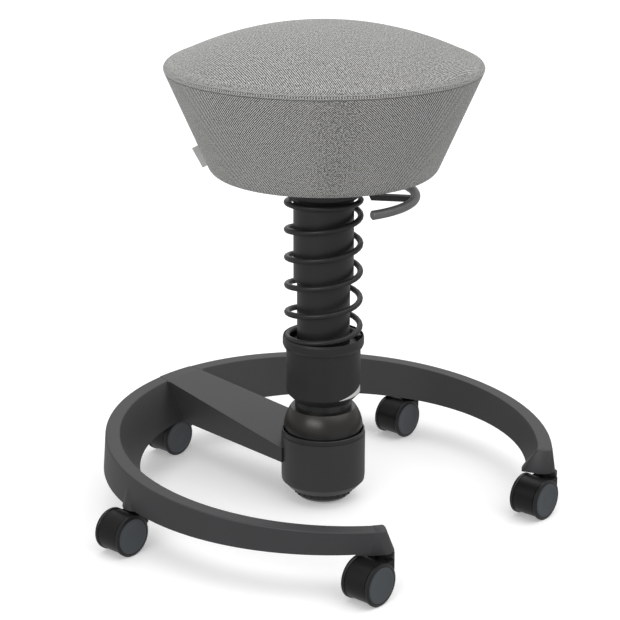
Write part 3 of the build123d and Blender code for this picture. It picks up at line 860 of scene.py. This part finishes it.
# ---------------------------------------------------------------- cushion
@dataclass
class Cushion:
    """The cone-shaped cushion with its stitched rim and its side tag."""

    segments: int = 180
    side_rings: int = 26
    dome_rings: int = 34
    corner_radius: float = 17 * MM
    corner_steps: int = 7
    side_inset: float = 6.9 * MM
    side_stretch: float = 1.096
    rim_radius: float = 7.5 * MM
    rim_end: float = 62.0
    rim_steps: int = 6
    rim_growth: float = 0.9 * MM
    crown: float = 52.2 * MM
    mouth_radius: float = 112 * MM
    lip_inset: float = 1 * MM
    pocket_clearance: float = 0.4 * MM
    pocket_chamfer: Point = (4 * MM, 6 * MM)
    hem_width: float = 6.0 * MM
    hem_rise: float = 0.9 * MM
    hem_edge: float = 0.8 * MM
    smooth_angle: float = 50.0
    pressure: float = 4.0
    stretch_stiffness: float = 40.0
    bending_stiffness: float = 5.0
    swell_frames: int = 20
    swell_cap: float = 2.5 * MM
    held_margin: float = 2 * MM
    fill: float = 0.9
    top_turn: Point = (0.62, 0.78)
    top_scale: Point = (1.15, 0.62)
    stitch_pitch: float = 3.2 * MM
    stitch_length: float = 3.6 * MM
    stitch_width: float = 1.6 * MM
    stitch_thickness: float = 1.2 * MM
    stitch_lift: float = 0.3 * MM
    tag_length: float = 28 * MM
    tag_reach: float = 11 * MM
    tag_thickness: float = 0.5 * MM
    tag_edge: float = 0.15 * MM
    tag_wave: float = 0.9 * MM
    tag_curl: float = 0.5 * MM
    bottom: float = field(init=False)
    bottom_radius: float = field(init=False)
    rim: float = field(init=False)
    rim_height: float = field(init=False)

    def __post_init__(self) -> None:
        """Takes the cushion's main sizes from the frame."""
        low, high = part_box("seat_cover")
        self.bottom = low.z
        self.rim = high.x + self.rim_growth
        spots = np.array([v.co for v in frame["nodes"]["seat_cover"].data.vertices])
        radii = np.hypot(spots[:, 0], spots[:, 1])
        self.rim_height = float(spots[radii > radii.max() - 0.3 * MM, 2].mean())
        flat = spots[spots[:, 2] < low.z + 0.2 * MM]
        self.bottom_radius = float(np.hypot(flat[:, 0], flat[:, 1]).max())

    def arc(self, centre: Point, radius: float, start: float, end: float, steps: int) -> list[Point]:
        """Points along an arc of the outline.

        Args:
            centre: The arc's centre.
            radius: Its radius.
            start: Its first angle from outwards, in degrees.
            end: Its last angle.
            steps: How many steps it has.

        Returns:
            The points, both ends among them.
        """
        angles = [math.radians(start + (end - start) * i / steps) for i in range(steps + 1)]
        return [(centre[0] + radius * math.cos(a), centre[1] + radius * math.sin(a)) for a in angles]

    def outline(self) -> list[Point]:
        """The cushion's outline, from the middle of its pocket round to the top of its crown.

        Returns:
            Points of (radius, height).
        """
        board_low, board_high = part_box("seat_board")
        gap = self.pocket_clearance
        lip = board_low.z - gap
        chamfer_width, chamfer_height = self.pocket_chamfer
        pocket = [
            (0.0, board_high.z + gap),
            (board_high.x * 0.5, board_high.z + gap),
            (board_high.x + gap, board_high.z + gap),
            (board_high.x - chamfer_width + gap, board_low.z + chamfer_height),
            (self.bottom_radius - self.lip_inset, lip),
            (self.mouth_radius, lip),
            (self.mouth_radius, self.bottom),
        ]
        run = self.rim - self.bottom_radius - self.side_inset
        lean = math.degrees(math.atan2(self.rim_height - self.bottom, run))
        corner = (self.bottom_radius, self.bottom + self.corner_radius)
        turn = self.arc(corner, self.corner_radius, -90, lean - 90, self.corner_steps)
        rim_centre = (self.rim - self.rim_radius, self.rim_height)
        edge = self.arc(rim_centre, self.rim_radius, lean - 90, self.rim_end, self.rim_steps)
        side = self.between(turn[-1], edge[0], self.side_rings)
        return pocket + turn + side + edge + self.dome(edge[-1])

    def between(self, start: Point, end: Point, steps: int) -> list[Point]:
        """Points on the straight line between two points, without its ends.

        Args:
            start: The first point.
            end: The last point.
            steps: How many steps it has.

        Returns:
            The points between them.
        """
        shares = [i / steps for i in range(1, steps)]
        return [(start[0] + (end[0] - start[0]) * t, start[1] + (end[1] - start[1]) * t) for t in shares]

    def dome(self, edge: Point) -> list[Point]:
        """The hem's step and the crown's arc up to the top.

        Args:
            edge: The last point of the rim.

        Returns:
            The points from the hem to the top.
        """
        step = edge[0] - self.hem_width
        top = self.rim_height + self.crown
        rise = top - edge[1]
        sphere = (edge[0] ** 2 + rise**2) / (2 * rise)
        shares = [1 - i / self.dome_rings for i in range(1, self.dome_rings + 1)]
        radii = [edge[0] - self.hem_width / 3, step + self.hem_edge, step, step - self.hem_edge]
        radii += [step * share for share in shares]
        lifts = [0.0, 0.0, -self.hem_rise * 0.6, -self.hem_rise]
        lifts += [-self.hem_rise * share for share in shares]
        level = top - sphere
        return [(max(r, 0.0), level + math.sqrt(sphere**2 - r**2) + lift) for r, lift in zip(radii, lifts)]

    def swell(self, piece: bpy.types.Object) -> None:
        """Lets air pressure tighten the cloth over the foam, held at its hem and its pocket.

        Args:
            piece: The cushion's mesh.
        """
        rest = np.array([v.co for v in piece.data.vertices])
        radii = np.hypot(rest[:, 0], rest[:, 1])
        group = piece.vertex_groups.new(name="held")
        near_rim = np.abs(radii - self.rim) < self.hem_width + 2 * self.held_margin
        under = rest[:, 2] < self.bottom + self.corner_radius
        _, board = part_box("seat_board")
        pocket = (rest[:, 2] < board.z + self.held_margin) & (radii < board.x + self.held_margin)
        held = np.nonzero(near_rim | under | pocket)[0]
        group.add([int(i) for i in held], 1.0, "REPLACE")
        cloth = piece.modifiers.new("Cloth", "CLOTH")
        cloth.settings.vertex_group_mass = group.name
        cloth.settings.use_pressure = True
        cloth.settings.uniform_pressure_force = self.pressure
        cloth.settings.tension_stiffness = self.stretch_stiffness
        cloth.settings.compression_stiffness = self.stretch_stiffness
        cloth.settings.bending_stiffness = self.bending_stiffness
        cloth.settings.effector_weights.gravity = 0.0
        for number in range(1, self.swell_frames + 1):
            bpy.context.scene.frame_set(number)
        depsgraph = bpy.context.evaluated_depsgraph_get()
        swollen = piece.evaluated_get(depsgraph).to_mesh()
        moved = np.array([v.co for v in swollen.vertices]) - rest
        piece.evaluated_get(depsgraph).to_mesh_clear()
        piece.modifiers.remove(cloth)
        bpy.context.scene.frame_set(1)
        size = np.linalg.norm(moved, axis=1)
        share = np.minimum(1.0, self.swell_cap / np.maximum(size, 1e-9))
        final = rest + moved * share[:, None]
        piece.data.vertices.foreach_set("co", final.ravel())
        piece.data.update()
        LOG.info("cushion swells by up to %.1f mm", 1000 * float((size * share).max()))

    def unwrap(self, piece: bpy.types.Object) -> None:
        """Lays the cloth out flat: the side round its cone and the top as it is cut.

        Args:
            piece: The cushion's mesh.
        """
        mesh = piece.data
        twill = Finish.CLOTH.value
        layer = mesh.uv_layers.new(name=twill.unwrapping)
        spots = np.array([v.co for v in mesh.vertices])
        turn_length = 4 * twill.panel
        across, along = self.top_scale
        cosine, sine = self.top_turn
        for face in mesh.polygons:
            middle = spots[list(face.vertices)].mean(axis=0)
            radius = math.hypot(middle[0], middle[1])
            on_top = middle[2] > self.rim_height and radius < self.rim - self.rim_radius * 0.8
            middle_turn = math.atan2(middle[0], -middle[1])
            for loop in face.loop_indices:
                x, y, z = spots[mesh.loops[loop].vertex_index]
                if on_top or middle[2] < self.bottom + self.held_margin:
                    layer.data[loop].uv = ((cosine * x - sine * y) * across, (sine * x + cosine * y) * along)
                    continue
                turn = math.atan2(x, -y)
                turn += 2 * math.pi * round((middle_turn - turn) / (2 * math.pi))
                layer.data[loop].uv = (turn / (2 * math.pi) * turn_length, z * self.side_stretch)

    def build_cushion(self) -> None:
        """Builds the cushion's closed cloth body."""
        piece = lathe("seat_cushion", self.outline(), self.segments)
        self.swell(piece)
        self.unwrap(piece)
        settle(piece, self.smooth_angle)
        stand(piece, "seat", Finish.CLOTH)
        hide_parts("seat_cover", "seat_foam")

    def build_stitches(self) -> None:
        """Sews one upright stitch over the rim's seam and repeats it all round."""
        radius = self.rim - self.stitch_thickness * 0.25
        height = self.rim_height + self.stitch_lift
        place = (radius, 0, height)
        pick_nothing()
        bpy.ops.mesh.primitive_uv_sphere_add(segments=6, ring_count=4, radius=0.5, location=place)
        piece = bpy.context.object
        piece.name = "rim_stitches"
        with editing(piece):
            size = (self.stitch_thickness, self.stitch_width, self.stitch_length)
            bpy.ops.transform.resize(value=size, center_override=place)
        settle(piece)
        count = round(2 * math.pi * radius / self.stitch_pitch)
        with editing(piece):
            bpy.ops.mesh.spin(
                steps=count - 1,
                dupli=True,
                angle=2 * math.pi * (count - 1) / count,
                center=(0, 0, 0),
                axis=(0, 0, 1),
            )
        settle(piece)
        stand(piece, "seat", Finish.THREAD)

    def build_tag(self) -> None:
        """Folds a bare strip of tape into a flag and sews it on the cushion's side."""
        low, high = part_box("cover_tag")
        middle = (low + high) / 2
        turn = math.atan2(middle.y, middle.x)
        slope = math.atan2(self.rim_height - self.bottom, self.rim - self.bottom_radius)
        pick_nothing()
        bpy.ops.mesh.primitive_plane_add(size=1.0, location=(0, 0, 0))
        piece = bpy.context.object
        piece.name = "side_tag"
        with editing(piece):
            bpy.ops.transform.resize(value=(self.tag_reach, self.tag_length, 1))
            bpy.ops.mesh.subdivide(number_cuts=9)
        for vertex in piece.data.vertices:
            share = vertex.co.x / self.tag_reach + 0.5
            wave = math.sin(vertex.co.y / self.tag_length * math.pi)
            vertex.co.z = self.tag_wave * share * wave + self.tag_curl * share * share
        apply_modifier(piece, "SOLIDIFY", thickness=self.tag_thickness, offset=0.0)
        apply_modifier(piece, "BEVEL", width=self.tag_edge, segments=2, limit_method="ANGLE")
        along = Vector((math.cos(slope) * math.cos(turn), math.cos(slope) * math.sin(turn), math.sin(slope)))
        sideways = Vector((-math.sin(turn), math.cos(turn), 0))
        out = along.cross(sideways) * -1
        axes = Matrix((out, along, sideways)).transposed().to_4x4()
        piece.matrix_world = Matrix.Translation(middle) @ axes
        settle(piece)
        stand(piece, "seat", Finish.TAPE)
        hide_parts("cover_tag")

    def build(self) -> None:
        """Builds every piece of the cushion."""
        self.build_cushion()
        self.build_stitches()
        self.build_tag()


# ---------------------------------------------------------------- column
@dataclass
class Column:
    """The sprung, tilting column: its tubes, cup, spring, dome and hub."""

    finishes: dict[str, Finish] = field(
        default_factory=lambda: {
            "hub_pot": Finish.POT,
            "hub_trim_ring": Finish.MOULDING,
            "stiffness_knob": Finish.MOULDING,
            "column_foot": Finish.DOME,
            "lower_tube": Finish.TUBE,
            "spring_cup": Finish.CUP,
            "coil_spring": Finish.SPRING,
            "upper_sleeve": Finish.TUBE,
            "spring_collar": Finish.MOULDING,
            "inner_column": Finish.BLACK_STEEL,
            "gas_cylinder": Finish.BLACK_STEEL,
            "seat_socket": Finish.BLACK_STEEL,
            "seat_board": Finish.BOARD,
            "guide_bushes": Finish.BOARD,
            "top_guide": Finish.BOARD,
            "damper_ring": Finish.RUBBER,
            "seat_foam": Finish.FOAM,
            "seat_cover": Finish.CLOTH,
            "cover_tag": Finish.TAPE,
            "lever_strip": Finish.BLACK_STEEL,
            "lever_handle": Finish.HANDLE,
        }
    )

    spring_wire: float = 3.75 * MM
    spring_turns: float = 6.0
    spring_start: float = math.radians(-48.0)
    spring_points: int = 32
    spring_low_ease: Point = (0.05, 1.03)
    spring_high_ease: Point = (5.3, 5.8)
    spring_flat_share: float = 0.03

    def spring_slope(self, turn: float) -> float:
        """The share of the full pitch after a number of turns, which eases in and out at the two ends.

        Args:
            turn: The number of turns from the lower end.

        Returns:
            The share.
        """
        shares = []
        for start, end in (self.spring_low_ease, self.spring_high_ease):
            part = min(max((turn - start) / (end - start), 0.0), 1.0)
            shares.append(part * part * (3 - 2 * part))
        return self.spring_flat_share + (1 - self.spring_flat_share) * shares[0] * (1 - shares[1])

    def build_spring(self) -> None:
        """Winds the coil spring at its rest length; the seat's bounce travel is read, but the spring is not
        made to shorten.
        """
        low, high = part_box("coil_spring")
        joint = next(j for j in frame["joints"] if j["name"] == "bounce")
        node = next(n for n in joint["deforming_nodes"] if n["node"] == "coil_spring")
        foot, travel = node["fixed_end_z_m"], -min(joint["range_m"])
        wire = self.spring_wire
        radius = (high.x - low.x) / 2 - wire
        steps = round(self.spring_turns * self.spring_points)
        slopes = [self.spring_slope((i + 0.5) / self.spring_points) for i in range(steps)]
        lift = (high.z - low.z - 2 * wire) / sum(slopes)
        curve = bpy.data.curves.new("spring_wire", "CURVE")
        curve.dimensions = "3D"
        curve.bevel_depth, curve.bevel_resolution, curve.use_fill_caps = wire, 4, True
        line = curve.splines.new("POLY")
        line.points.add(steps)
        height = low.z + wire
        for i, point in enumerate(line.points):
            turn = self.spring_start + 2 * math.pi * i / self.spring_points
            point.co = (radius * math.cos(turn), radius * math.sin(turn), height, 1.0)
            height += lift * slopes[min(i, steps - 1)]
        choose(put("spring_wire", curve))
        bpy.ops.object.convert(target="MESH")
        piece = bpy.context.object
        with editing(piece):
            bpy.ops.mesh.remove_doubles(threshold=WELD)
            bpy.ops.mesh.normals_make_consistent(inside=False)
        settle(piece)
        stand(piece, "column", Finish.SPRING)
        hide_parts("coil_spring")
        length = high.z - foot
        (length - travel) / length
        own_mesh(piece)

    def build(self) -> None:
        """Dresses the column's and the seat's own solids and winds the spring."""
        for node, finish in self.finishes.items():
            finish.dress(frame["nodes"][node])
            LOG.info("node %s is finished in %s", node, finish.name.lower())
        self.build_spring()


# ---------------------------------------------------------------- base
@dataclass
class Base:
    """The cast ring and arm and the five castors."""

    cap_radius: float = 22.2 * MM
    cap_height: float = 0.9 * MM
    cap_edge: float = 0.7 * MM
    cap_segments: int = 64
    cap_dish: float = 0.25 * MM
    cap_proud: float = 0.05 * MM
    end_castors: tuple[int, int] = (1, 2)
    ring_middle: Point = (0.0, -9.5 * MM)
    end_depth: float = 12 * MM
    end_width: float = 45 * MM
    end_skin: float = 0.25 * MM
    end_edge: float = 1.2 * MM
    end_weld: float = 0.3 * MM
    end_flat: float = math.radians(4.0)
    foot_radius: float = 35 * MM
    foot_limits: Point = (248.8 * MM, 289.0 * MM)
    foot_lift: float = 0.35 * MM
    stem_cover: float = 0.5 * MM
    round_points: int = 32

    def wheels(self) -> list[str]:
        """The names of the ten wheels."""
        return sorted(name for name in frame["nodes"] if "_wheel_" in name)

    def cap(self) -> bpy.types.Object:
        """Models one wheel's face disc about the Z axis, with a shallow dish and a soft edge.

        Returns:
            The disc, face up.
        """
        edge, height = self.cap_edge, self.cap_height
        outline = [
            (0.0, 0.0),
            (self.cap_radius, 0.0),
            (self.cap_radius, height - edge),
            (self.cap_radius - edge * 0.3, height - edge * 0.3),
            (self.cap_radius - edge, height),
            (self.cap_radius * 0.80, height),
            (self.cap_radius * 0.76, height - self.cap_dish),
            (self.cap_radius * 0.3, height - self.cap_dish * 0.4),
            (0.0, height),
        ]
        return lathe("wheel_cap", outline, self.cap_segments)

    def build_caps(self) -> None:
        """Copies the face disc onto each wheel."""
        pattern = self.cap()
        for name in self.wheels():
            low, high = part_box(name)
            side = 1 if name.endswith("b") else -1
            piece = pattern.copy()
            piece.data = pattern.data.copy()
            piece.name = name.replace("wheel", "cap")
            bpy.context.collection.objects.link(piece)
            face = (high.y if side > 0 else low.y) - side * (self.cap_height + self.cap_proud)
            place = Vector(((low.x + high.x) / 2, face, (low.z + high.z) / 2))
            piece.matrix_world = Matrix.Translation(place) @ Matrix.Rotation(-side * math.pi / 2, 4, "X")
            settle(piece)
            stand(piece, name, Finish.WHEEL_CAP)
        bpy.data.objects.remove(pattern)

    def turns(self) -> list[float]:
        """The angles at which a round of points stands, in radians."""
        return [2 * math.pi * step / self.round_points for step in range(self.round_points)]

    def foot(self, stem: Vector, outwards: Vector, along: Vector, height: float) -> list[Spot]:
        """The foot of one end: a round about the stem, kept between the ring's two lower edges.

        Args:
            stem: The stem's place, seen from above.
            outwards: The way from the ring's middle to the stem.
            along: The way along the ring, from its end.
            height: The foot's height.

        Returns:
            The foot's points.
        """
        middle = Vector(self.ring_middle)
        nearest, farthest = self.foot_limits
        spots = []
        for turn in self.turns():
            aside = self.foot_radius * math.sin(turn)
            if aside > -self.end_depth:
                away = stem + outwards * (self.foot_radius * math.cos(turn)) + along * aside - middle
                spot = middle + away.normalized() * min(max(away.length, nearest), farthest)
                spots.append((spot.x, spot.y, height))
        return spots

    def build_end(self, index: int) -> None:
        """Rounds off one end of the ring, over its boss and the top of the castor's stem.

        Args:
            index: The number of the castor at that end.
        """
        low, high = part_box(f"castor_{index}_stem")
        stem = ((low + high) / 2).xy
        outwards = (stem - Vector(self.ring_middle)).normalized()
        along = Vector((math.copysign(outwards.y, outwards.x), abs(outwards.x)))
        spots = []
        for vertex in frame["nodes"]["base_ring"].data.vertices:
            away = vertex.co.xy - stem
            if away.length < self.end_width and away.dot(along) < self.end_depth:
                spots.append(tuple(vertex.co))
        floor = min(z for _, _, z in spots)
        spots += self.foot(stem, outwards, along, floor + self.foot_lift)
        radius = (high.x - low.x) / 2 + self.stem_cover
        top = high.z + self.stem_cover
        spots += [(stem.x + radius * math.cos(a), stem.y + radius * math.sin(a), top) for a in self.turns()]
        mesh = bpy.data.meshes.new(f"ring_end_{index}")
        mesh.from_pydata(spots, [], [])
        piece = put(mesh.name, mesh)
        with editing(piece):
            bpy.ops.mesh.convex_hull()
            bpy.ops.mesh.remove_doubles(threshold=self.end_weld)
            bpy.ops.mesh.dissolve_limited(angle_limit=self.end_flat)
            bpy.ops.mesh.normals_make_consistent(inside=False)
        apply_modifier(piece, "BEVEL", width=self.end_edge, segments=3, limit_method="ANGLE")
        apply_modifier(piece, "DISPLACE", strength=self.end_skin, mid_level=0.0)
        for vertex in piece.data.vertices:
            vertex.co.z = max(vertex.co.z, floor)
        settle(piece)
        stand(piece, "base", Finish.POWDER_COAT)

    def build(self) -> None:
        """Dresses the base, its castors and all bare steel, and builds the wheel discs and ring ends."""
        for name, node in frame["nodes"].items():
            if name.startswith("base_"):
                Finish.POWDER_COAT.dress(node)
            elif "_wheel_" in name:
                Finish.WHEEL.dress(node)
            elif name.endswith("_hood"):
                Finish.HOOD.dress(node)
            elif name.endswith("_stem"):
                Finish.BLACK_STEEL.dress(node)
            elif not name.startswith("seat_") or name == "seat_screws":
                Finish.STEEL.dress(node)
        self.build_caps()
        for index in self.end_castors:
            self.build_end(index)


# ---------------------------------------------------------------- studio
@dataclass(frozen=True)
class Softbox:
    """One rectangular soft light. Its size is its width and its height."""

    name: str
    place: Spot
    target: Spot
    size: Point
    power: float

    def hang(self) -> None:
        """Hangs the light and turns it to its target."""
        data = bpy.data.lights.new(self.name, "AREA")
        data.shape = "RECTANGLE"
        data.size, data.size_y = self.size
        data.energy = self.power
        light = put(self.name, data)
        light.location = self.place
        aim = Vector(self.target) - Vector(self.place)
        light.rotation_euler = aim.to_track_quat("-Z", "Y").to_euler()


@dataclass
class Studio:
    """The floor, the soft light and the camera."""

    eye: Spot = (-1.6956, -1.5114, 0.9946)
    right: Spot = (0.67098, -0.74148, 0.0)
    back: Spot = (-0.70499, -0.63796, 0.30984)
    lens: float = 109.66
    sensor: float = 36.0
    view_depth: float = 50.0
    floor_size: float = 60.0
    sky: float = 0.52
    sun: float = 1.75
    sun_width: float = math.radians(90.0)
    sun_from: Spot = (0.24, -0.26, 1.0)
    softboxes: tuple[Softbox, ...] = (
        Softbox("front_light", (-1.92, -0.41, 1.15), (0, 0, 0.15), (1.6, 0.38), 12.0),
        Softbox("back_light", (2.6, 2.4, 1.7), (0, 0, 0.1), (2.4, 2.4), 9.0),
    )

    def build_floor(self) -> None:
        """Lays the pale floor."""
        pick_nothing()
        bpy.ops.mesh.primitive_plane_add(size=self.floor_size, location=(0, 0, 0))
        floor = bpy.context.object
        floor.name = "studio_floor"
        Finish.FLOOR.dress(floor)
        floor.visible_diffuse = False
        floor.visible_glossy = False

    def build_light(self) -> None:
        """Lights the stool softly from above and from both sides."""
        world = bpy.data.worlds.new("studio")
        world.use_nodes = True
        sky = world.node_tree.nodes["Background"]
        sky.inputs["Color"].default_value = (1.0, 1.0, 1.0, 1.0)
        sky.inputs["Strength"].default_value = self.sky
        bpy.context.scene.world = world
        for softbox in self.softboxes:
            softbox.hang()
        data = bpy.data.lights.new("sun", "SUN")
        data.energy = self.sun
        data.angle = self.sun_width
        sun = put("sun", data)
        sun.rotation_euler = Vector(self.sun_from).to_track_quat("Z", "Y").to_euler()
        bpy.context.scene.view_settings.view_transform = "Standard"

    def build_camera(self) -> None:
        """Sets up the camera."""
        data = bpy.data.cameras.new("camera")
        data.lens = self.lens
        data.sensor_width = self.sensor
        data.clip_end = self.view_depth
        camera = put("camera", data)
        right, back = Vector(self.right).normalized(), Vector(self.back).normalized()
        axes = Matrix((right, back.cross(right), back)).transposed().to_4x4()
        camera.matrix_world = Matrix.Translation(self.eye) @ axes
        bpy.context.scene.camera = camera

    def build(self) -> None:
        """Builds the studio."""
        self.build_camera()
        self.build_floor()
        self.build_light()


def main() -> None:
    """Builds the studio and every sub-assembly."""
    logging.basicConfig(level=logging.INFO, format="%(name)s: %(message)s")
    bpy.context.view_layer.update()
    Studio().build()
    Base().build()
    Column().build()
    Cushion().build()


if __name__ == "__main__":
    main()
